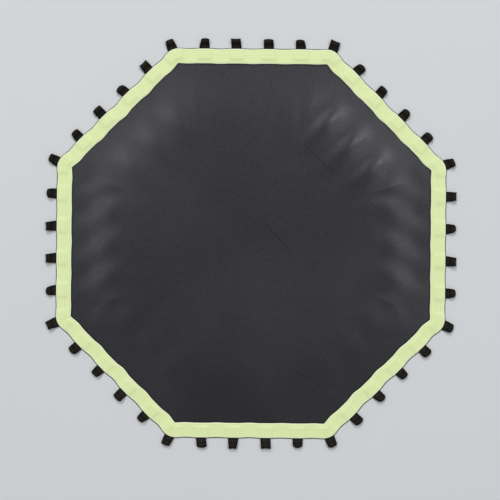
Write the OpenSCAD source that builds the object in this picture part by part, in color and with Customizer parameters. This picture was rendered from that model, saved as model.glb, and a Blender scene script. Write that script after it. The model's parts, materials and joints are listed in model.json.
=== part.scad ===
// Jumping bed of an octagonal fitness trampoline, lying flat on its underside.
// A woven sheet with a turned-up hem carries forty folded webbing loops, and one
// border webbing is sewn over the hem and the loops' tails.
// Origin: centre of the bed, on the plane it lies on. +Z is the side jumped on.

/* [Bed] */
// Across flats, over the outer edge of the border webbing where the loops are
bed_across = 960; // [900:10:1200]
// Thickness of the woven bed fabric
fabric_t = 0.8; // [0.6:0.1:1.2]
// How far the folded hem shows beyond the border webbing
hem_show = 2; // [1:0.5:4]
// How far the edge draws in between the loops, on the sides along the weave
draw_in_straight = 1; // [0:0.5:4]
// How far the edge draws in between the loops, on the sides across the weave
draw_in_bias = 2.5; // [0:0.5:6]

/* [Border webbing] */
// Width of the border webbing
border_w = 36; // [34:1:50]
// Thickness of the border webbing
border_t = 1.4; // [1:0.1:2.4]
// How far the border webbing reaches inward past the hem's raw edge
border_cover = 5; // [3:0.5:7]
// Radius that the inner edge of the border webbing turns on at a corner
corner_r = 3; // [2:0.5:6]

/* [Loops] */
// Width of the loop webbing, which is also the length of a loop's eye
strap_w = 25; // [16:1:30]
// Thickness of the loop webbing
strap_t = 1.2; // [1:0.1:1.6]
// Bore of a loop's eye, for a 9 mm cord end or hook
eye_d = 10; // [8:0.5:12]
// Part of a full turn that the webbing wraps round the eye, in degrees
eye_wrap = 280; // [276:2:290]
// Flat length of a loop between its flex line and the opening of its legs
root_len = 4; // [3:0.5:12]
// Distance from a tail's inner end to the hem's raw edge
tail_inset = 5; // [2:0.5:10]
// How much shorter the upper tail is cut than the lower one
tail_step = 3; // [0:0.5:6]
// Gap between a loop's rounded root and the sewn tails
flex_gap = 0.3; // [0.2:0.05:0.6]
// Height of the eyes above the plane that the bed lies on
eye_lift = 0.3; // [0.1:0.1:1]

/* [Hidden] */
$fn = 64;
SIDES = 8;
LOOPS_PER_SIDE = 5;

// Octagon: sides have their outward normals at multiples of SIDE_TURN
SIDE_TURN = 360 / SIDES;
HALF_TURN = SIDE_TURN / 2;
half_across = bed_across / 2;
side_len = bed_across * tan(HALF_TURN);
loop_pitch = side_len / LOOPS_PER_SIDE;

// Offsets from the line that the corner arcs are centred on, across the border
turn_apothem = half_across - border_w - corner_r;
turn_len = turn_apothem * tan(HALF_TURN);
turn_radius = turn_apothem / cos(HALF_TURN);
border_in = corner_r;
border_out = corner_r + border_w;
hem_edge = border_out + hem_show;
hem_raw = border_in + border_cover;
knee_gap = 0.5;
border_knee = hem_raw - knee_gap;
tail_lower_end = hem_raw + tail_inset;
tail_upper_end = tail_lower_end + tail_step;

// Heights of the layers
hem_top = 2 * fabric_t;
tails_top = hem_top + 2 * strap_t;
flex_z = hem_top + strap_t;

// Stations along one side, as distances from its middle. The border lies level over
// each loop's tails and slopes down to the hem beside them.
near_loop = loop_pitch / 2;
far_loop = 3 * loop_pitch / 2;
corner_gap = 2 * loop_pitch;
seat_margin = 1;
corner_margin = 3;
slope_run = 9;
seat_half = strap_w / 2 + seat_margin;
slope_half = seat_half + slope_run;
corner_seat = turn_len - (strap_w / 2 * cos(HALF_TURN) - tail_lower_end * sin(HALF_TURN))
    - corner_margin;
corner_slope = corner_seat - slope_run;
corner_low = (corner_slope + far_loop + slope_half) / 2;
half_stations = [
    near_loop - slope_half,
    near_loop - seat_half,
    near_loop + seat_half,
    near_loop + slope_half,
    loop_pitch,
    far_loop - slope_half,
    far_loop - seat_half,
    far_loop + seat_half,
    far_loop + slope_half,
    corner_low,
    corner_slope,
    corner_seat,
    turn_len];
LAST = len(half_stations) - 1;
side_stations = concat([for (i = [0:LAST]) -half_stations[LAST - i]], [0], half_stations);
FAN_STEPS = 4;
// Slack for sums that should come out equal
rounding = 0.01;

// Distance along a side from the nearest of its four loops
function from_loop(t) = min(abs(abs(t) - near_loop), abs(abs(t) - far_loop));

// True where the border lies on a loop's tails
function seated(t) = from_loop(t) <= seat_half + rounding || abs(t) >= corner_seat - rounding;

// Depth that side k is drawn in by between its loops
function draw_depth(k) = k % 2 == 0 ? draw_in_straight : draw_in_bias;

// 0 on the flat stretch over a loop, rising to 1 midway to the next one
function drawn(t) =
    let (share = abs(t) < corner_gap
            ? min(1, max(0, from_loop(t) - seat_half) / (near_loop - seat_half))
            : max(0, (turn_len - abs(t)) / (turn_len - corner_gap)))
    (1 - cos(180 * share)) / 2;

// A station is [x, y, direction, draw-in, seated], with x and y on the turning line
function side_ring(k, t) =
    let (a = k * SIDE_TURN)
    [turn_apothem * cos(a) - t * sin(a), turn_apothem * sin(a) + t * cos(a),
        a, draw_depth(k) * drawn(t), seated(t)];
function fan_ring(k, i) =
    let (middle = k * SIDE_TURN + HALF_TURN)
    [turn_radius * cos(middle), turn_radius * sin(middle),
        k * SIDE_TURN + SIDE_TURN * i / FAN_STEPS, 0, true];
rings = [for (k = [0:SIDES - 1]) each concat(
    [for (t = side_stations) side_ring(k, t)],
    [for (i = [1:FAN_STEPS - 1]) fan_ring(k, i)])];

// Point of a station at an offset across the border
function across(ring, offset) =
    [ring[0] + (offset - ring[3]) * cos(ring[2]), ring[1] + (offset - ring[3]) * sin(ring[2])];
function outline(offset) = [for (ring = rings) across(ring, offset)];
function at_height(p, z) = [p[0], p[1], z];

// Loop n of 0 to 39 runs anticlockwise. Every fifth one is on a corner.
function on_corner(n) = n % LOOPS_PER_SIDE == 0;
function loop_side(n) = floor(n / LOOPS_PER_SIDE);
function loop_dir(n) = loop_side(n) * SIDE_TURN - (on_corner(n) ? HALF_TURN : 0);
function loop_out(n) = (on_corner(n) ? turn_radius : turn_apothem) + hem_edge;
function loop_along(n) =
    on_corner(n) ? 0 : (n % LOOPS_PER_SIDE - LOOPS_PER_SIDE / 2) * loop_pitch;

// Puts a loop's own frame at the hem's edge: x outward, y along the edge
module at_loop(n) {
    rotate([0, 0, loop_dir(n)])
        translate([loop_out(n), loop_along(n), 0])
            children();
}

// Loop section: a flat root, two legs that part in a smooth curve, and a closed eye
eye_r = eye_d / 2;
eye_outer = eye_r + strap_t;
eye_z = eye_outer + eye_lift;
leg_angle = (360 - eye_wrap) / 2;
eye_mid_r = eye_r + strap_t / 2;
leg_mid_r = (eye_mid_r * sin(leg_angle) - strap_t / 2) / (1 - sin(leg_angle));
leg_outside_r = leg_mid_r - strap_t / 2;
leg_inside_r = leg_mid_r + strap_t / 2;
eye_x = root_len + (eye_mid_r + leg_mid_r) * cos(leg_angle);
flex_x = strap_t + flex_gap;
pitch_up = asin((eye_z - flex_z) / eye_x);
LEG_STEPS = 10;
EYE_STEPS = 28;
// The last stitches hold the legs together for a little past the flat root
tack_angle = 10;
// The legs' inner faces run into the bore this far before they would touch it
notch_lead = 6;

// Points of an arc about [cx, cy] in equal steps, first and last included
function arc(cx, cy, r, from, to, steps) =
    [for (i = [0:steps]) let (a = from + (to - from) * i / steps)
        [cx + r * cos(a), cy + r * sin(a)]];
function mirrored(points) =
    [for (i = [len(points) - 1:-1:0]) [points[i][0], -points[i][1]]];

upper_leg = arc(root_len, leg_inside_r, leg_outside_r, -90, -leg_angle, LEG_STEPS);
upper_eye = arc(eye_x, 0, eye_outer, 180 - leg_angle, 0, EYE_STEPS);
upper_outside = concat([[0, strap_t]], upper_leg, [for (i = [1:EYE_STEPS - 1]) upper_eye[i]]);
upper_notch =
    arc(root_len, leg_inside_r, leg_inside_r, tack_angle - 90, -leg_angle - notch_lead, LEG_STEPS);

// The section stands on edge: x outward from the flex line, the webbing's width along z
module loop(n) {
    color("#15140f")
        at_loop(n)
            translate([flex_x, 0, flex_z])
                rotate([90, 0, 0])
                    rotate([0, 0, pitch_up]) {
                        difference() {
                            linear_extrude(strap_w, center = true)
                                polygon(concat(upper_outside, [upper_eye[EYE_STEPS]],
                                    mirrored(upper_outside)));
                            linear_extrude(2 * strap_w, center = true)
                                polygon(concat(upper_notch, [[eye_x, 0]], mirrored(upper_notch)));
                            translate([eye_x, 0, 0])
                                cylinder(h = 2 * strap_w, r = eye_r, center = true);
                        }
                        cylinder(h = strap_w, r = strap_t, center = true);
                    }
}

// The two tails of each loop, flat on the hem and flush with its folded edge
module loop_tails() {
    lower_len = hem_edge - tail_lower_end;
    upper_len = hem_edge - tail_upper_end;
    color("#15140f")
        for (n = [0:SIDES * LOOPS_PER_SIDE - 1])
            at_loop(n) {
                translate([-lower_len, -strap_w / 2, hem_top])
                    cube([lower_len, strap_w, strap_t]);
                translate([-upper_len, -strap_w / 2, hem_top])
                    cube([upper_len, strap_w, 2 * strap_t]);
            }
}

// The woven sheet, and its edge turned up and over to make the hem
module bed_fabric() {
    color("#3b3b3f") {
        linear_extrude(fabric_t)
            polygon(outline(hem_edge));
        linear_extrude(hem_top)
            difference() {
                polygon(outline(hem_edge));
                polygon(outline(hem_raw));
            }
    }
}

// One webbing all the way round, rising over each loop's tails, with its inner edge
// sewn down to the sheet
module border_webbing() {
    ring_points = [for (ring = rings) each
        let (low = ring[4] ? tails_top : hem_top)
        [at_height(across(ring, border_out), low),
            at_height(across(ring, border_knee), low),
            at_height(across(ring, border_in), fabric_t),
            at_height(across(ring, border_in), fabric_t + border_t),
            at_height(across(ring, border_knee), low + border_t),
            at_height(across(ring, border_out), low + border_t)]];
    per_ring = 6;
    count = len(rings);
    faces = [for (i = [0:count - 1]) each
        let (here = i * per_ring, next = ((i + 1) % count) * per_ring)
        [for (j = [0:per_ring - 1]) each
            let (k = (j + 1) % per_ring)
            [[here + j, next + k, next + j], [here + j, here + k, next + k]]]];
    color("#dfeeaf")
        polyhedron(points = ring_points, faces = faces, convexity = 10);
}

bed_fabric();
border_webbing();
loop_tails();
loop(0);  // loop_01
loop(1);  // loop_02
loop(2);  // loop_03
loop(3);  // loop_04
loop(4);  // loop_05
loop(5);  // loop_06
loop(6);  // loop_07
loop(7);  // loop_08
loop(8);  // loop_09
loop(9);  // loop_10
loop(10);  // loop_11
loop(11);  // loop_12
loop(12);  // loop_13
loop(13);  // loop_14
loop(14);  // loop_15
loop(15);  // loop_16
loop(16);  // loop_17
loop(17);  // loop_18
loop(18);  // loop_19
loop(19);  // loop_20
loop(20);  // loop_21
loop(21);  // loop_22
loop(22);  // loop_23
loop(23);  // loop_24
loop(24);  // loop_25
loop(25);  // loop_26
loop(26);  // loop_27
loop(27);  // loop_28
loop(28);  // loop_29
loop(29);  // loop_30
loop(30);  // loop_31
loop(31);  // loop_32
loop(32);  // loop_33
loop(33);  // loop_34
loop(34);  // loop_35
loop(35);  // loop_36
loop(36);  // loop_37
loop(37);  // loop_38
loop(38);  // loop_39
loop(39);  // loop_40
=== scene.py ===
import json
import math
import random
from collections import namedtuple

import bmesh
import bpy
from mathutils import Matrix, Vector


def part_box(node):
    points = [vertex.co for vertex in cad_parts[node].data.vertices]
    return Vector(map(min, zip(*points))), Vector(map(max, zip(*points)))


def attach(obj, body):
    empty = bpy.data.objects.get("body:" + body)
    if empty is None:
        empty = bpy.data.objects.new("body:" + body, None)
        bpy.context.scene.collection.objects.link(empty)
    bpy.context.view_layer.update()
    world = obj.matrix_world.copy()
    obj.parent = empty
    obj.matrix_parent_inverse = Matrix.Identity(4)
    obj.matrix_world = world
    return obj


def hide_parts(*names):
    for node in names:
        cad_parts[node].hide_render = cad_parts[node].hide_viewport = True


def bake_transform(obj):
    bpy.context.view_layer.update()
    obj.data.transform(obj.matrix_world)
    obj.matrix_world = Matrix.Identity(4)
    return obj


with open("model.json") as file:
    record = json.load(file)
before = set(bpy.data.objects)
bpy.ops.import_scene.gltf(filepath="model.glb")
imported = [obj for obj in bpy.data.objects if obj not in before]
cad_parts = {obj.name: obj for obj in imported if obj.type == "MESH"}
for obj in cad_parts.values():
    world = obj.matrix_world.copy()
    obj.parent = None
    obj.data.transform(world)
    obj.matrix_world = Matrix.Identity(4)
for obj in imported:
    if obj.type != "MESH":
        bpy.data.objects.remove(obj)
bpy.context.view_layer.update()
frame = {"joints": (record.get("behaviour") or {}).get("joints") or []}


# ==== Bed fabric ====
# The jumping sheet is one octagon of tightly woven dark polypropylene tape, cut hot so that
# it doesn't fray. Its edge is turned up and over once all the way round, which makes a hem
# of two layers. It lies on its underside, with a low swell inward of each gap between loops.

SIDES = 8
SIDE_TURN = math.tau / SIDES
LOOPS_PER_SIDE = 5
BORDER_W = 0.036
CORNER_R = 0.003          # radius that the border's inner edge turns on at a corner
HEM_SHOW = 0.002          # of the hem beyond the border
HEM_W = 0.033
LAYER_RISE = 0.0008       # from the middle of the sheet to the middle of the hem on it
SHEET_T = 0.0007
DRAW_IN = (0.001, 0.0025)   # of the edge between loops, on sides along and across the weave
DRAW_IN_SPREAD = 0.25
SEAT_HALF = 0.0135        # half the stretch of edge that each loop holds out straight

bed_across = 2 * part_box("border_webbing")[1].x
loop_pitch = bed_across * math.tan(SIDE_TURN / 2) / LOOPS_PER_SIDE
turn_apothem = bed_across / 2 - BORDER_W - CORNER_R
turn_half = turn_apothem * math.tan(SIDE_TURN / 2)
hem_edge = CORNER_R + BORDER_W + HEM_SHOW
bed_apothem = turn_apothem + hem_edge

sewing = random.Random(7)
gap_slack = [[sewing.uniform(1 - DRAW_IN_SPREAD, 1 + DRAW_IN_SPREAD)
              for gap in range(LOOPS_PER_SIDE)] for side in range(SIDES)]


def smooth(low, high, value):
    """0 up to low and 1 from high on, with a smooth rise between them."""
    share = min(1.0, max(0.0, (value - low) / (high - low)))
    return share * share * (3 - 2 * share)


def drawn_in(side, along):
    """How far the edge draws in between its loops, at a distance from a side's middle."""
    reach = abs(along)
    corner_gap = 2 * loop_pitch
    if reach < corner_gap:
        from_loop = abs(abs(reach - loop_pitch) - loop_pitch / 2)
        share = min(1, max(0, from_loop - SEAT_HALF) / (loop_pitch / 2 - SEAT_HALF))
    else:
        share = (turn_half - reach) / (turn_half - corner_gap)
    gap = round(along / loop_pitch) + LOOPS_PER_SIDE // 2
    depth = DRAW_IN[side % 2] * gap_slack[side % SIDES][gap]
    return depth * (1 - math.cos(math.pi * share)) / 2


# A station is a line across the edge: the point that it turns on, its outward direction,
# how far the edge is drawn in there, and its side and distance from the side's middle.
Station = namedtuple("Station", "point out draw side along")


def side_station(side, along):
    out = Vector((math.cos(side * SIDE_TURN), math.sin(side * SIDE_TURN)))
    point = out * turn_apothem + Vector((-out.y, out.x)) * along
    return Station(point, out, drawn_in(side, along), side, along)


def corner_station(side, share):
    """A station in the fan of the corner that follows a side."""
    middle = (side + 0.5) * SIDE_TURN
    reach = turn_apothem / math.cos(SIDE_TURN / 2)
    turn = (side + share) * SIDE_TURN
    along = turn_half if share < 0.5 else -turn_half
    return Station(Vector((math.cos(middle), math.sin(middle))) * reach,
                   Vector((math.cos(turn), math.sin(turn))), 0.0,
                   side if share < 0.5 else side + 1, along)


def walk_round(straight_steps, corner_steps):
    """Stations all the way round, from the middle of the corner before side 0."""
    stations = []
    half = corner_steps // 2
    for side in range(SIDES):
        stations += [corner_station(side - 1, 0.5 + i / corner_steps) for i in range(half)]
        stations += [side_station(side, turn_half * (2 * i / straight_steps - 1))
                     for i in range(straight_steps + 1)]
        stations += [corner_station(side, (i + 1) / corner_steps) for i in range(half - 1)]
    return stations


def across(station, offset):
    """The point of a station at an offset outward from the line that it turns on."""
    return station.point + station.out * (offset - station.draw)


# The cloth is stiff enough to stand a little off the floor inside the border, and rises to
# a flat middle. Midway between two loops nothing holds it out, so there its rise gathers
# into one steep place, with a dip before it and a swell after it.
MIDDLE_H = 0.0062
RISE_START = 0.016              # from the hem's edge
RISE_END = 0.184
# Heights of a swell and of the ridge of slack along it, and where the steep place is, on
# each side from +X round. The cloth gives most toward +X and -X and on the side between +X
# and +Y, and least toward +Y and -Y.
SWELL_H = (0.0018, 0.0012, 0.0002, 0.0006, 0.0018, 0.0004, 0.0002, 0.0004)
RIDGE_H = (0.0002, 0.0036, 0.0002, 0.0012, 0.0002, 0.0004, 0.0001, 0.0004)
STEEP_AT = (0.104, 0.110, 0.104, 0.108, 0.104, 0.104, 0.104, 0.104)
SWELL_RUN = 0.070               # from its steep place to where it ends
RIDGE_PAST = 0.032              # from the steep place to the ridge's highest place
RIDGE_RUN = 0.120               # from there to where it ends
CORNER_BLEND = 0.06             # from a corner's middle line: the two sides' swells blend here
PACKING_WAVE_H = 0.0007
PACKING_WAVE = 0.31
WAVE_TOWARD = (0.8, 0.6)
WAVE_PHASE = 1.0
WAVE_START = 0.1                # from the hem's edge
WAVE_FULL = 0.25


def floor_lift(x, y):
    """How far the sheet stands off the floor at a place."""
    angle = math.atan2(y, x)
    side = round(angle / SIDE_TURN)
    out = Vector((math.cos(side * SIDE_TURN), math.sin(side * SIDE_TURN)))
    along = y * out.x - x * out.y
    reach = x * out.x + y * out.y
    to_corner = max(0, reach * math.tan(SIDE_TURN / 2) - abs(along))
    at_corner = max(0, 1 - to_corner / CORNER_BLEND)
    inset = bed_apothem - reach - CORNER_BLEND / 4 * at_corner ** 2
    height = MIDDLE_H * smooth(RISE_START, RISE_END, inset)
    beside = side + 1 if along > 0 else side - 1
    shared = smooth(0, 1, at_corner) / 2
    swell_h, ridge_h, steep_at = [
        values[side % SIDES] * (1 - shared) + values[beside % SIDES] * shared
        for values in (SWELL_H, RIDGE_H, STEEP_AT)]
    from_steep = min(1, max(-1, (inset - steep_at) / SWELL_RUN))
    swell = math.sin(math.pi * from_steep) * (1 - from_steep ** 2)
    ridge = 1 - smooth(0, RIDGE_RUN, abs(inset - steep_at - RIDGE_PAST))
    midway = (1 + math.cos(math.tau * along / loop_pitch)) / 2
    height += (swell_h * swell + ridge_h * ridge) * midway
    toward = WAVE_TOWARD[0] * x + WAVE_TOWARD[1] * y
    wave = (1 + math.sin(math.tau * toward / PACKING_WAVE + WAVE_PHASE)) / 2
    return height + PACKING_WAVE_H * wave * smooth(WAVE_START, WAVE_FULL, inset)


def start_piece(add, name, **sizes):
    """Adds a primitive with nothing else selected, and gives it its name."""
    bpy.ops.object.select_all(action="DESELECT")
    add(**sizes)
    piece = bpy.context.object
    piece.name = piece.data.name = name
    return piece


def edit_select(piece, test):
    """In edit mode, selects the vertices that a test picks by their place."""
    bpy.ops.mesh.select_mode(type="VERT")
    bpy.ops.mesh.select_all(action="DESELECT")
    mesh = bmesh.from_edit_mesh(piece.data)
    for vertex in mesh.verts:
        vertex.select = test(vertex.co)
    mesh.select_flush(True)
    bmesh.update_edit_mesh(piece.data)


def apply_modifier(piece, kind, **values):
    modifier = piece.modifiers.new(kind.lower(), kind)
    for key, value in values.items():
        setattr(modifier, key, value)
    bpy.context.view_layer.objects.active = piece
    bpy.ops.object.modifier_apply(modifier=modifier.name)


def unfold_uv(piece, name, flat_place):
    """A UV map in metres. flat_place gives a vertex its place on the unfolded cloth."""
    layer = piece.data.uv_layers.new(name=name)
    flat = [flat_place(vertex) for vertex in piece.data.vertices]
    for corner in piece.data.loops:
        layer.data[corner.index].uv = flat[corner.vertex_index]


# The blank is a disc of rings. A ring's radius says how far in from the edge it goes, and
# its height which layer it is in: 0 for the sheet, 1 for the hem, and the fold in between.
BED_STRAIGHT_STEPS = 56
BED_CORNER_STEPS = 6
HEM_STEP = 0.004
RING_STEP = 0.016               # the longest, between two rings of the sheet
RING_GROWTH = 0.04              # of a step, with each metre past the hem
LAST_RING = 0.02                # from the centre: the rings end here, and close to a point
FOLD_STEPS = 4
ring_insets = [LAYER_RISE]
while ring_insets[-1] < HEM_W - HEM_STEP / 2:
    ring_insets.append(ring_insets[-1] + HEM_STEP)
hem_rings = list(ring_insets)
while ring_insets[-1] < bed_apothem - LAST_RING:
    past_hem = ring_insets[-1] - HEM_W
    ring_insets.append(ring_insets[-1] + min(RING_STEP, HEM_STEP + RING_GROWTH * past_hem))
bed_stations = walk_round(BED_STRAIGHT_STEPS, BED_CORNER_STEPS)


def ring_radius(inset):
    return 1 - inset / bed_apothem


def extrude_rings(insets):
    for outer, inner in zip(insets, insets[1:]):
        ratio = ring_radius(inner) / ring_radius(outer)
        bpy.ops.mesh.extrude_region_move()
        bpy.ops.transform.resize(value=(ratio, ratio, 1), center_override=(0, 0, 0))


bed_sheet = start_piece(bpy.ops.mesh.primitive_circle_add, "bed_sheet",
                        vertices=len(bed_stations), radius=ring_radius(ring_insets[0]))
bpy.ops.object.mode_set(mode="EDIT")
bpy.ops.mesh.select_all(action="SELECT")
extrude_rings(ring_insets)
bpy.ops.mesh.extrude_region_move()
bpy.ops.mesh.merge(type="CENTER")
edit_select(bed_sheet, lambda co: co.xy.length > ring_radius(ring_insets[0]) - 1e-5)
for step in range(FOLD_STEPS):
    bpy.ops.mesh.extrude_region_move(TRANSFORM_OT_translate={"value": (0, 0, 1 / FOLD_STEPS)})
extrude_rings(hem_rings)
bpy.ops.object.mode_set(mode="OBJECT")

from_edge = {}
for vertex in bed_sheet.data.vertices:
    disc = vertex.co.copy()
    turn = math.atan2(disc.y, disc.x) / math.tau
    station = bed_stations[round(turn * len(bed_stations)) % len(bed_stations)]
    inset = (1 - disc.xy.length) * bed_apothem
    from_edge[vertex.index] = (inset, station.along)
    if 0 < disc.z < 1:
        inset -= LAYER_RISE / 2 * math.sin(math.pi * disc.z)
    if inset <= hem_rings[-1] + 1e-5:
        place = across(station, hem_edge - inset)
    else:
        share = (inset - hem_rings[-1]) / (bed_apothem - hem_rings[-1])
        place = across(station, hem_edge - hem_rings[-1]) * (1 - share)
    height = LAYER_RISE - LAYER_RISE / 2 * math.cos(math.pi * disc.z)
    vertex.co = (place.x, place.y, height + floor_lift(place.x, place.y))
unfold_uv(bed_sheet, "from_edge", lambda vertex: from_edge[vertex.index])

bpy.ops.object.mode_set(mode="EDIT")
bpy.ops.mesh.select_all(action="SELECT")
bpy.ops.mesh.normals_make_consistent(inside=False)
bpy.ops.object.mode_set(mode="OBJECT")
apply_modifier(bed_sheet, "SOLIDIFY", thickness=SHEET_T, offset=0, use_even_offset=True)
bpy.ops.object.shade_smooth_by_angle(angle=math.radians(60))


def calc(tree, operation, *values):
    """A Math node fed with sockets or numbers. Gives its output."""
    node = tree.nodes.new("ShaderNodeMath")
    node.operation = operation
    for socket, value in zip(node.inputs, values):
        if isinstance(value, bpy.types.NodeSocket):
            tree.links.new(value, socket)
        else:
            socket.default_value = value
    return node.outputs[0]


def add_node(tree, kind, links=(), **values):
    """A node with its settings, and links given as (input, socket or value) pairs."""
    node = tree.nodes.new(kind)
    for key, value in values.items():
        setattr(node, key, value)
    for name, value in dict(links).items():
        if isinstance(value, bpy.types.NodeSocket):
            tree.links.new(value, node.inputs[name])
        else:
            node.inputs[name].default_value = value
    return node


def new_group(name, inputs, outputs):
    """A shader node group with its sockets. Gives the group, its inputs and its outputs."""
    group = bpy.data.node_groups.new(name, "ShaderNodeTree")
    for socket, kind in inputs:
        group.interface.new_socket(socket, in_out="INPUT", socket_type="NodeSocket" + kind)
    for socket in outputs:
        group.interface.new_socket(socket, in_out="OUTPUT", socket_type="NodeSocketFloat")
    start = group.nodes.new("NodeGroupInput").outputs
    end = group.nodes.new("NodeGroupOutput").inputs
    return group, start, end


def use_group(tree, group, **values):
    node = tree.nodes.new("ShaderNodeGroup")
    node.node_tree = group
    for name, value in values.items():
        socket = node.inputs[name.replace("_", " ")]
        if isinstance(value, bpy.types.NodeSocket):
            tree.links.new(value, socket)
        else:
            socket.default_value = value
    return node.outputs


# Flat tapes in plain weave: each square shows the warp tape or the weft tape on top, with
# a tone of its own. The tone stands for a painted glint: each tape lies a little turned and
# catches the light its own way.
TAPE_FLATNESS = 6               # power that keeps a tape flat nearly to its edges
TAPE_SAG = 0.65                 # of its height, lost where it goes down under the next
tape_weave, start, end = new_group(
    "Tape weave", [("Vector", "Vector"), ("Tape width", "Float")], ["Height", "Warp", "Tone"])
cell = add_node(tape_weave, "ShaderNodeVectorMath", operation="DIVIDE")
tape_weave.links.new(start["Vector"], cell.inputs[0])
tape_weave.links.new(start["Tape width"], cell.inputs[1])
in_tapes = add_node(tape_weave, "ShaderNodeSeparateXYZ", [("Vector", cell.outputs[0])]).outputs
columns = calc(tape_weave, "FLOOR", in_tapes["X"])
rows = calc(tape_weave, "FLOOR", in_tapes["Y"])
warp = calc(tape_weave, "FLOORED_MODULO", calc(tape_weave, "ADD", columns, rows), 2)
tops = []
for over, beside in (("X", "Y"), ("Y", "X")):
    from_middle = calc(tape_weave, "SUBTRACT", calc(tape_weave, "FRACT", in_tapes[over]), 0.5)
    steep = calc(tape_weave, "POWER", calc(tape_weave, "ABSOLUTE",
                 calc(tape_weave, "MULTIPLY", from_middle, 2)), TAPE_FLATNESS)
    along = calc(tape_weave, "SUBTRACT", calc(tape_weave, "FRACT", in_tapes[beside]), 0.5)
    crown = calc(tape_weave, "COSINE", calc(tape_weave, "MULTIPLY", along, math.pi))
    tops.append(calc(tape_weave, "MULTIPLY", calc(tape_weave, "SUBTRACT", 1, steep),
                     calc(tape_weave, "MULTIPLY_ADD", crown, TAPE_SAG, 1 - TAPE_SAG)))
top = add_node(tape_weave, "ShaderNodeMix", [("Factor", warp), ("A", tops[1]), ("B", tops[0])])
tape_weave.links.new(top.outputs[0], end["Height"])
tape_weave.links.new(warp, end["Warp"])
square = add_node(tape_weave, "ShaderNodeCombineXYZ", [("X", columns), ("Y", rows)])
tone = add_node(tape_weave, "ShaderNodeTexWhiteNoise", [("Vector", square.outputs[0])],
                noise_dimensions="2D")
tape_weave.links.new(tone.outputs["Value"], end["Tone"])

# Uneven dye, lint and handling: soft patches with a finer grain in them.
uneven, start, end = new_group(
    "Uneven cloth", [("Vector", "Vector"), ("Patch size", "Float"), ("Grain size", "Float")],
    ["Patches", "Grain"])
for name, size, detail in (("Patches", "Patch size", 3), ("Grain", "Grain size", 2)):
    noise = add_node(uneven, "ShaderNodeTexNoise",
                     [("Vector", start["Vector"]),
                      ("Scale", calc(uneven, "DIVIDE", 1, start[size])), ("Detail", detail)])
    uneven.links.new(noise.outputs["Fac"], end[name])

# A crease left by packing: a shallow line between two points, seen from above, that fades at
# both ends. The height of the cloth doesn't count.
fold_crease, start, end = new_group(
    "Fold crease", [("Vector", "Vector"), ("From", "Vector"), ("To", "Vector"),
                    ("Width", "Float")], ["Depth"])
run = add_node(fold_crease, "ShaderNodeVectorMath", operation="SUBTRACT")
fold_crease.links.new(start["To"], run.inputs[0])
fold_crease.links.new(start["From"], run.inputs[1])
offset = add_node(fold_crease, "ShaderNodeVectorMath", operation="SUBTRACT")
fold_crease.links.new(start["Vector"], offset.inputs[0])
fold_crease.links.new(start["From"], offset.inputs[1])
flat_offset = add_node(fold_crease, "ShaderNodeVectorMath", operation="MULTIPLY")
fold_crease.links.new(offset.outputs[0], flat_offset.inputs[0])
flat_offset.inputs[1].default_value = (1, 1, 0)
dots = []
for first, second in ((flat_offset, run), (run, run)):
    dot = add_node(fold_crease, "ShaderNodeVectorMath", operation="DOT_PRODUCT")
    fold_crease.links.new(first.outputs[0], dot.inputs[0])
    fold_crease.links.new(second.outputs[0], dot.inputs[1])
    dots.append(dot.outputs["Value"])
share = calc(fold_crease, "DIVIDE", dots[0], dots[1])
inside = add_node(fold_crease, "ShaderNodeClamp", [("Value", share)]).outputs[0]
nearest = add_node(fold_crease, "ShaderNodeVectorMath", operation="SCALE")
fold_crease.links.new(run.outputs[0], nearest.inputs[0])
fold_crease.links.new(inside, nearest.inputs["Scale"])
gap = add_node(fold_crease, "ShaderNodeVectorMath", operation="DISTANCE")
fold_crease.links.new(flat_offset.outputs[0], gap.inputs[0])
fold_crease.links.new(nearest.outputs[0], gap.inputs[1])
line = add_node(fold_crease, "ShaderNodeMapRange", [
    ("Value", gap.outputs["Value"]), ("From Min", 0), ("From Max", start["Width"]),
    ("To Min", 1), ("To Max", 0)], interpolation_type="SMOOTHSTEP")
fade = calc(fold_crease, "SINE", calc(fold_crease, "MULTIPLY", inside, math.pi))
fold_crease.links.new(calc(fold_crease, "MULTIPLY", line.outputs[0], fade), end["Depth"])


def new_material(name):
    material = bpy.data.materials.new(name)
    material.use_nodes = True
    return material, material.node_tree, material.node_tree.nodes["Principled BSDF"]


def blend_colours(tree, share, first, second):
    """Mixes two colours, each a socket or linear RGB, by a share."""
    mix = tree.nodes.new("ShaderNodeMix")
    mix.data_type = "RGBA"
    for socket, value in zip((mix.inputs[0], mix.inputs[6], mix.inputs[7]),
                             (share, first, second)):
        if isinstance(value, bpy.types.NodeSocket):
            tree.links.new(value, socket)
        else:
            socket.default_value = (*value, 1) if isinstance(value, tuple) else value
    return mix.outputs[2]


def rescale(tree, value, low, high, start=0.0, stop=1.0):
    """Maps a value from start..stop to low..high, held at both ends."""
    return add_node(tree, "ShaderNodeMapRange", [
        ("Value", value), ("From Min", start), ("From Max", stop),
        ("To Min", low), ("To Max", high)]).outputs[0]


def bump(tree, shader, layers):
    """Stacks bumps of (height, depth in metres) under a shader's normal."""
    normal = None
    for height, depth in layers:
        node = add_node(tree, "ShaderNodeBump", [("Height", height), ("Distance", depth)])
        if normal:
            tree.links.new(normal, node.inputs["Normal"])
        normal = node.outputs[0]
    tree.links.new(normal, shader.inputs["Normal"])


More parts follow.
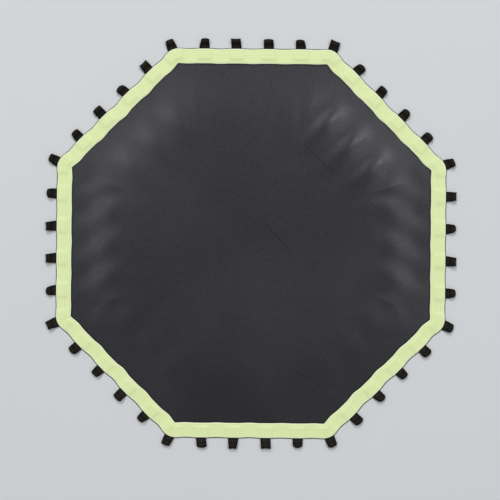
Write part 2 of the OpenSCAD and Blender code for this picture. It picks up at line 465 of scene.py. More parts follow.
TAPE_W = 0.0016
TAPE_RELIEF = 0.00002
FABRIC_PATCH = 0.35
FABRIC_GRAIN = 0.006
SEAM_SHADE_AND_PRESS = 1.5                # strength of the painted shade along the border's inner edge, and of how much smoother the sewing made the sheet there, against a crease
SEAM_FULL_W = 0.001             # of sheet along the border that is shaded and smoothed in full
SEAM_SHADE_W = 0.0055           # of sheet along the border that is shaded and smoothed at all
CREASE_W = 0.0032
CREASE_DEPTH = 0.00003
CREASES = (((0.122, 0.252, 0), (0.219, 0.161, 0)),
           ((0.021, 0.062, 0), (0.110, -0.030, 0)),
           ((0.096, -0.304, 0), (0.193, -0.364, 0)))
# The warp tapes are painted lighter than the weft tapes: a painted sheen, as tapes that run one
# way catch more of the light.
WARP_SHEEN_GREY = (0.0130, 0.0122, 0.0152)
WEFT_GREY = (0.0095, 0.0088, 0.0112)
COOL_GREY = (0.0122, 0.0135, 0.0165)
DUST_AND_GLINT_GREY = (0.033, 0.0315, 0.036)
# Painted shade: low in the weave, where the tapes dip under one another, the colour goes toward
# near black.
GAP_SHADE_BLACK = (0.006, 0.006, 0.007)
GAP_TOP = 0.45                  # of the tapes' height: below it a gap starts
COOL_SHARE = 0.8
COOL_PATCHES = (0.35, 0.7)
TAPE_GLINT = 0.22
GRAIN_DUST = 0.2
PATCH_DUST = 0.45
DUSTY_PATCHES = (0.42, 0.72)
# Painted shade: how dark the creases and the strip along the border's inner edge are made.
PAINTED_SHADE_DARK = 0.4
SHINE = 0.35
SHINE_TINT = (0.96, 0.94, 1.0)
FABRIC_ROUGH = 0.215
GRAIN_ROUGH = 0.08
WARP_ROUGH = 0.03
TAPE_ROUGH = 0.11
PRESSED_ROUGH = -0.08

fabric, tree, shader = new_material("bed_fabric_weave")
spot = tree.nodes.new("ShaderNodeTexCoord").outputs["Object"]
weave = use_group(tree, tape_weave, Vector=spot, Tape_width=TAPE_W)
cloth = use_group(tree, uneven, Vector=spot, Patch_size=FABRIC_PATCH, Grain_size=FABRIC_GRAIN)
tapes = blend_colours(tree, weave["Warp"], WEFT_GREY, WARP_SHEEN_GREY)
cool = rescale(tree, cloth["Patches"], 0, COOL_SHARE, *COOL_PATCHES)
tinted = blend_colours(tree, cool, tapes, COOL_GREY)
gap_shade = rescale(tree, weave["Height"], 1, 0, 0, GAP_TOP)
# Painted glint and dust: each tape square's own tone lightens it toward a pale grey as a painted
# glint, and random patches and grain add dust.
dust_and_glint = calc(tree, "ADD", rescale(tree, weave["Tone"], 0, TAPE_GLINT),
             rescale(tree, cloth["Patches"], 0, PATCH_DUST, *DUSTY_PATCHES))
dust_and_glint = calc(tree, "MULTIPLY_ADD", cloth["Grain"], GRAIN_DUST, dust_and_glint)
lit = blend_colours(tree, dust_and_glint, tinted, DUST_AND_GLINT_GREY)
creased = 0
for begin, finish in CREASES:
    crease = use_group(tree, fold_crease, Vector=spot, From=begin, To=finish, Width=CREASE_W)
    creased = calc(tree, "ADD", crease["Depth"], creased)
edge = tree.nodes.new("ShaderNodeUVMap")
edge.uv_map = "from_edge"
from_hem = add_node(tree, "ShaderNodeSeparateXYZ", [("Vector", edge.outputs[0])]).outputs["X"]
border_end = HEM_SHOW + BORDER_W
# Painted shade: a strip of sheet along the border's inner edge, and the creases, are painted
# darker, as the border's contact shadow and the shade in a crease. The same mask makes the sheet
# smoother there.
seam_shade = rescale(tree, from_hem, 1, 0, border_end + SEAM_FULL_W, border_end + SEAM_SHADE_W)
shaded_and_pressed = calc(tree, "MAXIMUM", creased, calc(tree, "MULTIPLY", seam_shade, SEAM_SHADE_AND_PRESS))
dark = calc(tree, "MAXIMUM", gap_shade, calc(tree, "MULTIPLY", shaded_and_pressed, PAINTED_SHADE_DARK))
tree.links.new(blend_colours(tree, dark, lit, GAP_SHADE_BLACK), shader.inputs["Base Color"])
shader.inputs["Specular IOR Level"].default_value = SHINE
shader.inputs["Specular Tint"].default_value = (*SHINE_TINT, 1)
rough = FABRIC_ROUGH
for source, share in ((cloth["Grain"], GRAIN_ROUGH), (weave["Warp"], WARP_ROUGH),
                      (weave["Tone"], TAPE_ROUGH), (shaded_and_pressed, PRESSED_ROUGH)):
    rough = calc(tree, "MULTIPLY_ADD", source, share, rough)
tree.links.new(rough, shader.inputs["Roughness"])
bump(tree, shader, [(weave["Height"], TAPE_RELIEF), (creased, CREASE_DEPTH)])
bed_sheet.data.materials.append(fabric)

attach(bed_sheet, "bed")
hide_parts("bed_fabric")


# ==== Loops ====
# Forty strips of 25 mm black polypropylene webbing, each folded double round a rod so that
# it keeps a round eye. Its two tails lie on the hem under the border, and are sewn through.

STRAP_W = 0.025
STRAP_T = 0.0012
STRAP_SHOWN_T = 0.00115
STRAP_BEVEL = 0.0003
EYE_D = 0.010
EYE_WRAP = math.radians(280)
ROOT_LEN = 0.004
FLEX_GAP = 0.0003
EYE_LIFT = 0.0003
LOWER_TAIL = 0.028
UPPER_TAIL = 0.025

hem_top = 2 * LAYER_RISE
flex_x = STRAP_T + FLEX_GAP
flex_z = hem_top + STRAP_T
leg_angle = (math.tau - EYE_WRAP) / 2
leg_turn = math.radians(90) - leg_angle
eye_r = EYE_D / 2 + STRAP_T / 2
leg_r = (eye_r * math.sin(leg_angle) - STRAP_T / 2) / (1 - math.sin(leg_angle))
eye_x = ROOT_LEN + (eye_r + leg_r) * math.cos(leg_angle)
eye_z = EYE_D / 2 + STRAP_T + EYE_LIFT
pitch_up = math.asin((eye_z - flex_z) / eye_x)

STRAP_ACROSS = 10
TAIL_STEPS = 6
ROOT_STEPS = 6
LEG_STEPS = 5
EYE_STEPS = 22

strap = start_piece(bpy.ops.mesh.primitive_grid_add, "strap_blank",
                    x_subdivisions=TAIL_STEPS, y_subdivisions=STRAP_ACROSS, size=1,
                    location=(-LOWER_TAIL / 2, 0, flex_z - STRAP_T / 2))
bpy.ops.object.transform_apply(location=True)
bpy.ops.object.mode_set(mode="EDIT")
bpy.ops.transform.resize(value=(LOWER_TAIL, STRAP_W, 1),
                         center_override=(-LOWER_TAIL / 2, 0, flex_z))
edit_select(strap, lambda co: co.x > -1e-6)
for step in range(ROOT_STEPS):
    bpy.ops.mesh.extrude_region_move(
        TRANSFORM_OT_translate={"value": ((flex_x + ROOT_LEN) / ROOT_STEPS, 0, 0)})
knee_x = flex_x + ROOT_LEN
bpy.ops.mesh.spin(steps=LEG_STEPS, angle=-leg_turn, axis=(0, 1, 0),
                  center=(knee_x, 0, flex_z - leg_r - STRAP_T / 2))
bpy.ops.mesh.spin(steps=EYE_STEPS, angle=EYE_WRAP, axis=(0, 1, 0),
                  center=(flex_x + eye_x, 0, flex_z))
bpy.ops.mesh.spin(steps=LEG_STEPS, angle=-leg_turn, axis=(0, 1, 0),
                  center=(knee_x, 0, flex_z + leg_r + STRAP_T / 2))
for length, steps in ((knee_x, ROOT_STEPS), (UPPER_TAIL, TAIL_STEPS)):
    for step in range(steps):
        bpy.ops.mesh.extrude_region_move(
            TRANSFORM_OT_translate={"value": (-length / steps, 0, 0)})
bpy.ops.mesh.select_all(action="SELECT")
bpy.ops.mesh.remove_doubles(threshold=1e-6)
bpy.ops.mesh.normals_make_consistent(inside=False)
bpy.ops.object.mode_set(mode="OBJECT")


def strap_run(co):
    """Distance along the unfolded strip from the middle of the eye."""
    from_eye = math.hypot(co.x - flex_x - eye_x, co.z - flex_z)
    if from_eye < eye_r + STRAP_T / 4 and co.x > flex_x + ROOT_LEN:
        return eye_r * math.atan2(co.z - flex_z, co.x - flex_x - eye_x)
    sign = 1 if co.z > flex_z else -1
    crotch_x = flex_x + eye_x - eye_r * math.cos(leg_angle)
    crotch_z = flex_z + sign * eye_r * math.sin(leg_angle)
    half_wrap = eye_r * EYE_WRAP / 2
    return sign * (half_wrap + math.hypot(co.x - crotch_x, co.z - crotch_z))


unfold_uv(strap, "webbing", lambda vertex: (vertex.co.y, strap_run(vertex.co)))
apply_modifier(strap, "SOLIDIFY", thickness=STRAP_SHOWN_T, offset=0, use_even_offset=True)
apply_modifier(strap, "BEVEL", width=STRAP_BEVEL, segments=2, limit_method="ANGLE",
               angle_limit=math.radians(60))
bpy.ops.object.shade_smooth_by_angle(angle=math.radians(50))

# Yarns along the webbing float over and under its picks, each a half step from the next.
FLOAT_DEPTH = 0.3               # of a yarn's height, either way from its middle height
webbing_weave, start, end = new_group(
    "Webbing weave", [("Vector", "Vector"), ("Yarn width", "Float"), ("Pick length", "Float")],
    ["Height", "Yarn"])
strip = add_node(webbing_weave, "ShaderNodeSeparateXYZ", [("Vector", start["Vector"])]).outputs
yarns = calc(webbing_weave, "DIVIDE", strip["X"], start["Yarn width"])
picks = calc(webbing_weave, "DIVIDE", strip["Y"], start["Pick length"])
yarn = calc(webbing_weave, "FLOOR", yarns)
stagger = calc(webbing_weave, "MULTIPLY", calc(webbing_weave, "FLOORED_MODULO", yarn, 2), 0.5)
from_middle = calc(webbing_weave, "SUBTRACT", calc(webbing_weave, "FRACT", yarns), 0.5)
round_top = calc(webbing_weave, "SQRT", calc(webbing_weave, "MAXIMUM", 0, calc(
    webbing_weave, "SUBTRACT", 1, calc(webbing_weave, "POWER", calc(
        webbing_weave, "ABSOLUTE", calc(webbing_weave, "MULTIPLY", from_middle, 2)), 2))))
phase = calc(webbing_weave, "MULTIPLY", calc(webbing_weave, "ADD", picks, stagger), math.tau)
over = calc(webbing_weave, "MULTIPLY_ADD", calc(webbing_weave, "COSINE", phase),
            FLOAT_DEPTH, 1 - FLOAT_DEPTH)
webbing_weave.links.new(calc(webbing_weave, "MULTIPLY", round_top, over), end["Height"])
tint = add_node(webbing_weave, "ShaderNodeTexWhiteNoise", [("W", yarn)], noise_dimensions="1D")
webbing_weave.links.new(tint.outputs["Value"], end["Yarn"])

LOOP_YARN_W = 0.0011
LOOP_PICK = 0.0022
LOOP_RELIEF = 0.00025
LOOP_BLACK = (0.0040, 0.0038, 0.0030)
LOOP_HIGHLIGHT_BROWN = (0.0190, 0.0125, 0.0065)
LOOP_GAP_SHADE_BLACK = (0.0015, 0.0013, 0.0012)
LOOP_GAPS = (0.1, 0.6)          # heights of the weave, from all gap to none
LOOP_PATCH = 0.03
LOOP_GRAIN = 0.0012
LOOP_GRAIN_DEPTH = 0.00005
HIGHLIGHT_PATCHES = (0.35, 0.7)
LEAST_HIGHLIGHT = 0.4
HIGHLIGHT_HALF = 0.003              # half the strip that takes the painted highlight in full
UNLIT_EDGE = 0.002
LOOP_SHINE = 0.15
LOOP_ROUGH = 0.5
LOOP_GRAIN_ROUGH = 0.2

black_webbing, tree, shader = new_material("loop_webbing_black")
unfolded = tree.nodes.new("ShaderNodeUVMap")
unfolded.uv_map = "webbing"
spot = tree.nodes.new("ShaderNodeTexCoord").outputs["Object"]
weave = use_group(tree, webbing_weave, Vector=unfolded.outputs[0], Yarn_width=LOOP_YARN_W,
                  Pick_length=LOOP_PICK)
cloth = use_group(tree, uneven, Vector=spot, Patch_size=LOOP_PATCH, Grain_size=LOOP_GRAIN)
# Painted highlight: the middle of each strip is painted lighter and browner, as where the domed
# webbing catches the light, and its edges stay near black as painted shade. Random patches vary
# how strong it is.
highlight_patches = rescale(tree, cloth["Patches"], LEAST_HIGHLIGHT, 1, *HIGHLIGHT_PATCHES)
from_middle = calc(tree, "ABSOLUTE", add_node(
    tree, "ShaderNodeSeparateXYZ", [("Vector", unfolded.outputs[0])]).outputs["X"])
mid_strip = rescale(tree, from_middle, 1, 0, HIGHLIGHT_HALF, STRAP_W / 2 - UNLIT_EDGE)
yarn_tone = blend_colours(tree, calc(tree, "MULTIPLY", highlight_patches, mid_strip), LOOP_BLACK, LOOP_HIGHLIGHT_BROWN)
# Painted shade: low in the weave, between the yarns, the colour goes toward near black.
between = rescale(tree, weave["Height"], 1, 0, *LOOP_GAPS)
tree.links.new(blend_colours(tree, between, yarn_tone, LOOP_GAP_SHADE_BLACK),
               shader.inputs["Base Color"])
tree.links.new(calc(tree, "MULTIPLY_ADD", cloth["Grain"], LOOP_GRAIN_ROUGH, LOOP_ROUGH),
               shader.inputs["Roughness"])
bump(tree, shader, [(weave["Height"], LOOP_RELIEF), (cloth["Grain"], LOOP_GRAIN_DEPTH)])
shader.inputs["Specular IOR Level"].default_value = LOOP_SHINE
strap.data.materials.append(black_webbing)

LEAN = math.radians(7)
FREE_START = 0.002         # from the root: the taper and the reach start here
TAPER = (0.78, 0.99)
TIP_ROUND = (0.0018, 0.0054)
TIP_POWER = 2.5
NOTCHED = 0.22             # share of the loops whose tip is hollow
NOTCH = 0.0012
REACH = (-0.0002, 0.0030)
EDGE_CURL = 0.2

folding = random.Random(11)
tip_x = flex_x + eye_x + EYE_D / 2 + STRAP_T


def shape_strap(co, lean, taper, tip, reach):
    """Bends a point of the flat strap up at its root, and settles its eye."""
    free = smooth(FREE_START, tip_x, co.x)
    out = smooth(flex_x + ROOT_LEN, tip_x, co.x)
    edge = abs(co.y) / (STRAP_W / 2)
    curl = 1 - EDGE_CURL * out * edge ** 2
    x = co.x - tip * out * edge ** TIP_POWER + reach * free
    y = co.y * (1 - (1 - taper) * free) + math.tan(lean) * max(0, co.x - flex_x)
    z = flex_z + (co.z - flex_z) * curl
    turn = pitch_up * smooth(0, 2 * flex_x, co.x)
    dx, dz = x - flex_x, z - flex_z
    return Vector((flex_x + dx * math.cos(turn) - dz * math.sin(turn), y,
                   flex_z + dx * math.sin(turn) + dz * math.cos(turn)))


for joint in frame["joints"]:
    name = joint["child"]
    piece = strap.copy()
    piece.data = strap.data.copy()
    piece.name = piece.data.name = name.replace("loop", "strap")
    bpy.context.scene.collection.objects.link(piece)
    up = Vector((0, 0, 1))
    axis = Vector(joint["axis"])
    outward = up.cross(axis)
    hinge = Vector(joint["pos_m"])
    root = Vector((hinge.x, hinge.y, 0)) - outward * flex_x
    lean = folding.uniform(-LEAN, LEAN)
    taper = folding.uniform(*TAPER)
    tip = -NOTCH if folding.random() < NOTCHED else folding.uniform(*TIP_ROUND)
    reach = folding.uniform(*REACH)
    for vertex in piece.data.vertices:
        bent = shape_strap(vertex.co, lean, taper, tip, reach)
        place = root + outward * bent.x - axis * bent.y
        on_hem = root + outward * min(bent.x, 0) - axis * bent.y
        vertex.co = (place.x, place.y, bent.z + floor_lift(on_hem.x, on_hem.y))
    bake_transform(piece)
    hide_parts(name, "loop_tails")
bpy.data.objects.remove(strap)


# ==== Border webbing ====
# One lime polyester webbing, 36 mm wide, sewn over the hem and the loops' tails. It rises
# over every pair of tails and lies on the hem between them. At each corner its slack is
# tucked into a pleat, and its two ends meet in the pleat of one corner.

BORDER_T = 0.0014
BORDER_STRAIGHT_STEPS = 92
BORDER_CORNER_STEPS = 12
SLOPE_RUN = 0.009
SLOPE_LAP = 0.0005         # of each slope beside a pair of tails, over the tails
INNER_FLAT = 0.0005        # of the border lies on the sheet along its inner edge
KNEE = 0.0075              # from the turning line: the border lies on the hem from here out
TAILS_COVERED = 0.0160     # from the turning line: it lies on the tails from here out
CORNER_SEAT = 0.0095       # the corner loop's tails start this far before the corner
GROOVES = 6
GROOVE_PITCH = 0.0054
GROOVE_DEPTH = 0.0001
GROOVE_HALF = 0.0008
SELVEDGE_W = 0.0022
SELVEDGE_RISE = 0.00012
STITCH_ROWS = (-0.0154, -0.0054, 0.0054, 0.0154)   # from the border's middle
PLEAT = 0.0011             # its full thickness, at the step
PLEAT_RUN = 0.012          # of a side, along which it rises
PLEAT_AT_SIDE = 0.8        # of its thickness, at the end of a side
PLEAT_AT_FAN = 0.85        # and from there to the step

sheet_top = (LAYER_RISE + SHEET_T) / 2
tails_top = hem_top + 2 * STRAP_T
border_middle = CORNER_R + BORDER_W / 2


def tail_rise(station):
    """1 where the border lies on a loop's tails, and 0 between the loops."""
    reach = abs(station.along)
    from_loop = abs(abs(reach - loop_pitch) - loop_pitch / 2)
    on_side = 1 - smooth(SEAT_HALF - SLOPE_LAP, SEAT_HALF + SLOPE_RUN, from_loop)
    seat = turn_half - CORNER_SEAT
    return max(on_side, smooth(seat - SLOPE_RUN, seat, reach))


def border_bed(station, offset):
    """Height of what the border lies on."""
    on_hem = (hem_top - sheet_top) * smooth(CORNER_R + INNER_FLAT, KNEE, offset)
    over_tails = (tails_top - hem_top) * smooth(KNEE, TAILS_COVERED, offset)
    return sheet_top + on_hem + over_tails * tail_rise(station)


groove_places = [(i - (GROOVES - 1) / 2) * GROOVE_PITCH for i in range(GROOVES)]
round_r = BORDER_T / 2
flat_half = BORDER_W / 2 - round_r
top_places = {-flat_half, flat_half, -flat_half + SELVEDGE_W, flat_half - SELVEDGE_W,
              *STITCH_ROWS}
for place in groove_places:
    top_places |= {place - GROOVE_HALF, place, place + GROOVE_HALF}
top_places = sorted(top_places)

# The webbing's section, anticlockwise from the outer end of its top: places across it,
# measured outward from its middle, and heights above what it lies on.
END_STEPS = 4
section = [(place, BORDER_T) for place in reversed(top_places)]
section += [(-flat_half - round_r * math.sin(math.pi * i / END_STEPS),
             round_r + round_r * math.cos(math.pi * i / END_STEPS)) for i in range(1, END_STEPS)]
section += [(place, 0) for place in top_places]
section += [(flat_half + round_r * math.sin(math.pi * i / END_STEPS),
             round_r - round_r * math.cos(math.pi * i / END_STEPS)) for i in range(1, END_STEPS)]


def webbing_relief(place):
    """Grooves between the ribs, and the thicker woven edges."""
    depth = sum(math.exp(-((place - groove) / GROOVE_HALF) ** 2) for groove in groove_places)
    edge = smooth(flat_half - SELVEDGE_W, flat_half - SELVEDGE_W / 2, abs(place))
    return SELVEDGE_RISE * edge - GROOVE_DEPTH * depth


def pleat_rise(share, place):
    """The pleat's upper layer: it ends in a step along the corner's middle line."""
    inward = 0.5 - place / BORDER_W
    return PLEAT * share * inward


border_stations = walk_round(BORDER_STRAIGHT_STEPS, BORDER_CORNER_STEPS)
around = [0.0]
for here, there in zip(border_stations, border_stations[1:] + border_stations[:1]):
    step = (across(there, border_middle) - across(here, border_middle)).length
    around.append(around[-1] + step)

# Each station's share of the pleat's thickness. It rises along the end of a side, stays
# through half of the corner's fan, and drops to nothing at the corner's middle line.
corner_steps_half = BORDER_CORNER_STEPS // 2
per_side = BORDER_STRAIGHT_STEPS + BORDER_CORNER_STEPS
pleat_share = []
for i, station in enumerate(border_stations):
    to_corner = per_side - i % per_side
    if to_corner < corner_steps_half:
        pleat_share.append(1.0 if to_corner == 1 else PLEAT_AT_FAN)
    else:
        past_fan = i % per_side > corner_steps_half
        before = turn_half - station.along if past_fan else PLEAT_RUN
        pleat_share.append(PLEAT_AT_SIDE * (1 - smooth(0, PLEAT_RUN, before)))


def on_border(index, place, height):
    """A point of the border, at a place across it and a height above what it lies on."""
    station = border_stations[index]
    offset = border_middle + place
    spot = across(station, offset)
    z = border_bed(station, offset) + height + floor_lift(spot.x, spot.y)
    return Vector((spot.x, spot.y, z + pleat_rise(pleat_share[index], place)))


# The blank is a grid. A point's x says which station it is at, and its y which of the
# section's points it is. The grid's far edges come to lie on its near ones, where they join.
border = start_piece(bpy.ops.mesh.primitive_grid_add, "border_strip", size=1,
                     x_subdivisions=len(border_stations), y_subdivisions=len(section))
flat_border = {}
for vertex in border.data.vertices:
    index = round((vertex.co.x + 0.5) * len(border_stations))
    corner = round((vertex.co.y + 0.5) * len(section))
    place, height = section[corner % len(section)]
    if height in (0, BORDER_T):
        height += webbing_relief(place) * (1 if height else -1)
    vertex.co = on_border(index % len(border_stations), place, height)
    flat_border[vertex.index] = (place, around[index])
unfold_uv(border, "webbing", lambda vertex: flat_border[vertex.index])
bpy.ops.object.mode_set(mode="EDIT")
bpy.ops.mesh.select_all(action="SELECT")
bpy.ops.mesh.remove_doubles(threshold=1e-6)
bpy.ops.mesh.normals_make_consistent(inside=False)
bpy.ops.object.mode_set(mode="OBJECT")
bpy.ops.object.shade_smooth_by_angle(angle=math.radians(70))

BORDER_YARN_W = 0.0009
BORDER_PICK = 0.0018
BORDER_RELIEF = 0.00012
BORDER_PATCH = 0.05
BORDER_GRAIN = 0.0015
BORDER_GRAIN_DEPTH = 0.00004
BORDER_GAPS = (0.1, 0.7)        # heights of the weave, from all gap to none
LIME = (0.705, 0.820, 0.378)
PALE_LIME = (0.800, 0.875, 0.488)
SELVEDGE_HIGHLIGHT_LIME = (0.84, 0.89, 0.62)
GROOVE_SHADE_LIME = (0.48, 0.57, 0.25)
GROOVE_SHARE = 0.3              # of the painted shade's colour, at the bottom of a groove
GAP_SHARE = 0.35                # and between the yarns
YARN_FADE = 0.5
PATCH_FADE = 0.5
GROOVE_FADE = (0.06, 0.22)      # in groove pitches from a groove: all its colour, and none
BORDER_ROUGH = 0.55
BORDER_GRAIN_ROUGH = 0.15

lime_webbing, tree, shader = new_material("border_webbing_lime")
unfolded = tree.nodes.new("ShaderNodeUVMap")
unfolded.uv_map = "webbing"
spot = tree.nodes.new("ShaderNodeTexCoord").outputs["Object"]
weave = use_group(tree, webbing_weave, Vector=unfolded.outputs[0], Yarn_width=BORDER_YARN_W,
                  Pick_length=BORDER_PICK)
cloth = use_group(tree, uneven, Vector=spot, Patch_size=BORDER_PATCH, Grain_size=BORDER_GRAIN)
across_it = add_node(tree, "ShaderNodeSeparateXYZ", [("Vector", unfolded.outputs[0])]).outputs["X"]
from_first = calc(tree, "ADD", across_it, GROOVE_PITCH * GROOVES / 2)
rib = calc(tree, "DIVIDE", from_first, GROOVE_PITCH)
from_groove = calc(tree, "ABSOLUTE", calc(tree, "SUBTRACT", calc(tree, "FRACT", rib), 0.5))
in_groove = rescale(tree, from_groove, 1, 0, *GROOVE_FADE)
selvedge = rescale(tree, calc(tree, "ABSOLUTE", across_it), 0, 1,
                   flat_half - SELVEDGE_W, flat_half - SELVEDGE_W / 2)
inner_grooves = calc(tree, "MULTIPLY", in_groove, calc(tree, "SUBTRACT", 1, selvedge))
fade = calc(tree, "MULTIPLY_ADD", weave["Yarn"], YARN_FADE,
            rescale(tree, cloth["Patches"], 0, PATCH_FADE))
dyed = blend_colours(tree, fade, LIME, PALE_LIME)
# Painted highlight: the woven edges are painted paler, as where the rounded selvedges catch the
# light.
edged = blend_colours(tree, selvedge, dyed, SELVEDGE_HIGHLIGHT_LIME)
# Painted shade: the grooves between the ribs, and the gaps between the yarns, are tinted toward a
# dark lime.
ribbed = blend_colours(tree, calc(tree, "MULTIPLY", inner_grooves, GROOVE_SHARE), edged,
                       GROOVE_SHADE_LIME)
between = calc(tree, "MULTIPLY", rescale(tree, weave["Height"], 1, 0, *BORDER_GAPS), GAP_SHARE)
tree.links.new(blend_colours(tree, between, ribbed, GROOVE_SHADE_LIME), shader.inputs["Base Color"])
tree.links.new(calc(tree, "MULTIPLY_ADD", cloth["Grain"], BORDER_GRAIN_ROUGH, BORDER_ROUGH),
               shader.inputs["Roughness"])
bump(tree, shader, [(weave["Height"], BORDER_RELIEF), (cloth["Grain"], BORDER_GRAIN_DEPTH)])
border.data.materials.append(lime_webbing)

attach(border, "bed")
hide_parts("border_webbing")


# ==== Sewing thread ====
# Four rows of lockstitch in lime polyester thread go through the border and the sheet, and
# the outer three through the hem and the tails too. The same rows show on the underside. A
# short row holds down each pleat.

STITCH = 0.0036
STITCH_GAP = 0.0007
THREAD_R = 0.00027
THREAD_PROUD = THREAD_R / 3     # of the webbing's face, at the middle of the thread
STITCH_DIP = 0.00022
UNDER_SHOW = 0.00010            # of the thread, below the sheet
THREAD_LIME = (0.62, 0.72, 0.34)
THREAD_PATCH = 0.02
THREAD_GRAIN = 0.0004
THREAD_GRAIN_DEPTH = 0.00006
THREAD_ROUGH = 0.35
THREAD_PATCH_ROUGH = 0.2

stitch = start_piece(bpy.ops.mesh.primitive_cylinder_add, "stitch_blank", vertices=5,
                     radius=THREAD_R, depth=STITCH, rotation=(0, math.radians(90), 0))
bpy.ops.object.transform_apply(rotation=True)
bpy.ops.object.mode_set(mode="EDIT")
for cut in (-STITCH / 3, 0, STITCH / 3):
    bpy.ops.mesh.select_all(action="SELECT")
    bpy.ops.mesh.bisect(plane_co=(cut, 0, 0), plane_no=(1, 0, 0))
bpy.ops.object.mode_set(mode="OBJECT")
stitch_points = [(v.co.x, v.co.y, v.co.z - STITCH_DIP * (2 * v.co.x / STITCH) ** 4)
                 for v in stitch.data.vertices]
stitch_faces = [tuple(face.vertices) for face in stitch.data.polygons]
bpy.data.objects.remove(stitch)


def sew(line, closed):
    """Stitches at an even pace along a line of points. Gives their points and faces."""
    points, faces = [], []
    if closed:
        line = line + line[:1]
    runs = [0.0]
    for here, there in zip(line, line[1:]):
        runs.append(runs[-1] + (there - here).length)
    count = int(runs[-1] / (STITCH + STITCH_GAP))
    pace = runs[-1] / count
    leg = 0
    for i in range(count):
        run = (i + 0.5) * pace
        while runs[leg + 1] < run:
            leg += 1
        here, there = line[leg], line[leg + 1]
        share = (run - runs[leg]) / (runs[leg + 1] - runs[leg])
        middle = here.lerp(there, share)
        ahead = (there - here).normalized()
        side = Vector((-ahead.y, ahead.x, 0)).normalized()
        up = ahead.cross(side)
        base = len(points)
        points += [middle + ahead * x + side * y + up * z for x, y, z in stitch_points]
        faces += [tuple(base + corner for corner in face) for face in stitch_faces]
    return points, faces


def thread_piece(name, lines):
    """One piece of the stitches along lines, each a list of points and whether it closes."""
    mesh = bpy.data.meshes.new(name)
    points, faces = [], []
    for line, closed in lines:
        more, corners = sew(line, closed)
        faces += [tuple(len(points) + c for c in face) for face in corners]
        points += more
    mesh.from_pydata(points, [], faces)
    piece = bpy.data.objects.new(name, mesh)
    bpy.context.scene.collection.objects.link(piece)
    mesh.shade_smooth()
    return piece


thread, tree, shader = new_material("thread_lime")
spot = tree.nodes.new("ShaderNodeTexCoord").outputs["Object"]
cloth = use_group(tree, uneven, Vector=spot, Patch_size=THREAD_PATCH, Grain_size=THREAD_GRAIN)
tree.links.new(blend_colours(tree, cloth["Grain"], THREAD_LIME, PALE_LIME),
               shader.inputs["Base Color"])
tree.links.new(calc(tree, "MULTIPLY_ADD", cloth["Patches"], THREAD_PATCH_ROUGH, THREAD_ROUGH),
               shader.inputs["Roughness"])
bump(tree, shader, [(cloth["Grain"], THREAD_GRAIN_DEPTH)])


def on_webbing(index, place):
    """Where the thread's middle lies on the border, at a place across it."""
    return on_border(index, place, BORDER_T + webbing_relief(place) + THREAD_PROUD)


# The lower thread runs the other way round, so its stitches fall at places of their own.
sheet_bottom = (LAYER_RISE - SHEET_T) / 2
threads = []
for number, place in enumerate(STITCH_ROWS, 1):
    upper = [on_webbing(index, place) for index in range(len(border_stations))]
    lower = []
    for station in reversed(border_stations):
        spot = across(station, border_middle + place)
        z = sheet_bottom + floor_lift(spot.x, spot.y) + THREAD_R - UNDER_SHOW
        lower.append(Vector((spot.x, spot.y, z)))
    threads.append(thread_piece(f"stitch_row_{number}", [(upper, True), (lower, True)]))
steps = [index * per_side for index in range(SIDES)]
threads.append(thread_piece("pleat_stitches", [
    ([on_webbing(index, place) for place in top_places[2:-2]], False) for index in steps]))
for piece in threads:
    piece.data.materials.append(thread)
    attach(piece, "bed")


# ==== Floor, light and camera ====
# A plain pale floor that the bed lies on, soft light from a large lamp beyond the bed's +Y
# side and four weaker ones to the left and right of it, and a camera straight above.

FLOOR_GAP = 0.0004
FLOOR_SIZE = 14
FLOOR_PATCH = 0.8
FLOOR_GRAIN = 0.004
FLOOR_GREY = (0.60, 0.61, 0.62)
FLOOR_PALE = (0.63, 0.64, 0.65)
FLOOR_ROUGH = 0.8
SKY = (0.93, 0.96, 1.0, 1)
SKY_STRENGTH = 0.35
FRAME_W = 1.236
CAMERA_LENS = 100
SENSOR_W = 36
CAMERA_AT = (-0.0024, -0.0163)
CAMERA_ROLL = math.radians(0.5)

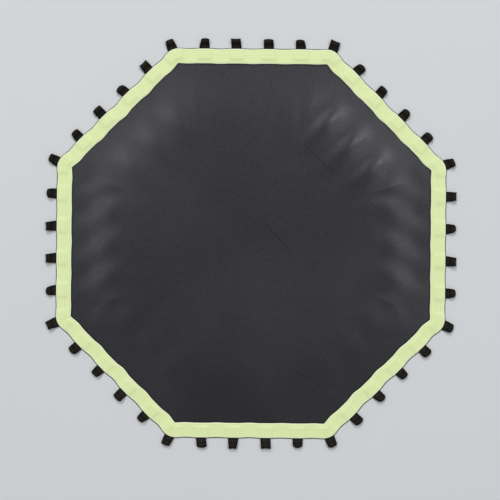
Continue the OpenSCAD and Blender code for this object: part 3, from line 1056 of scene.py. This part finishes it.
floor = start_piece(bpy.ops.mesh.primitive_grid_add, "floor", x_subdivisions=8,
                    y_subdivisions=8, size=FLOOR_SIZE, location=(0, 0, -FLOOR_GAP))
bpy.ops.object.transform_apply(location=True)
pale, tree, shader = new_material("pale_floor")
spot = tree.nodes.new("ShaderNodeTexCoord").outputs["Object"]
cloth = use_group(tree, uneven, Vector=spot, Patch_size=FLOOR_PATCH, Grain_size=FLOOR_GRAIN)
tree.links.new(blend_colours(tree, cloth["Patches"], FLOOR_GREY, FLOOR_PALE),
               shader.inputs["Base Color"])
shader.inputs["Roughness"].default_value = FLOOR_ROUGH
floor.data.materials.append(pale)


def add_lamp(name, azimuth, zenith, distance, size, watts):
    """A square lamp turned to the bed's centre. Azimuth is from +X, zenith from +Z."""
    data = bpy.data.lights.new(name, "AREA")
    data.shape = "SQUARE"
    data.size = size
    data.energy = watts
    lamp = bpy.data.objects.new(name, data)
    azimuth, zenith = math.radians(azimuth), math.radians(zenith)
    toward = Vector((math.sin(zenith) * math.cos(azimuth),
                     math.sin(zenith) * math.sin(azimuth), math.cos(zenith)))
    lamp.location = toward * distance
    lamp.rotation_euler = toward.to_track_quat("Z", "Y").to_euler()
    bpy.context.scene.collection.objects.link(lamp)


add_lamp("key_lamp", azimuth=99, zenith=41, distance=12, size=3.1, watts=529)
add_lamp("right_lamp", azimuth=-3, zenith=26, distance=8, size=1.2, watts=46)
add_lamp("right_corner_lamp", azimuth=40, zenith=26, distance=8, size=1.3, watts=106)
add_lamp("left_lamp", azimuth=182, zenith=26, distance=8, size=1.2, watts=40)
add_lamp("left_corner_lamp", azimuth=136, zenith=26, distance=8, size=1.6, watts=90)
world = bpy.data.worlds.new("studio")
world.use_nodes = True
background = world.node_tree.nodes["Background"]
background.inputs["Color"].default_value = SKY
background.inputs["Strength"].default_value = SKY_STRENGTH
bpy.context.scene.world = world

camera = bpy.data.objects.new("camera", bpy.data.cameras.new("camera"))
camera.data.lens = CAMERA_LENS
camera.data.sensor_width = SENSOR_W
camera.location = (*CAMERA_AT, FRAME_W * CAMERA_LENS / SENSOR_W)
camera.rotation_euler.z = CAMERA_ROLL
bpy.context.scene.collection.objects.link(camera)
bpy.context.scene.camera = camera
bpy.context.scene.view_settings.view_transform = "Standard"
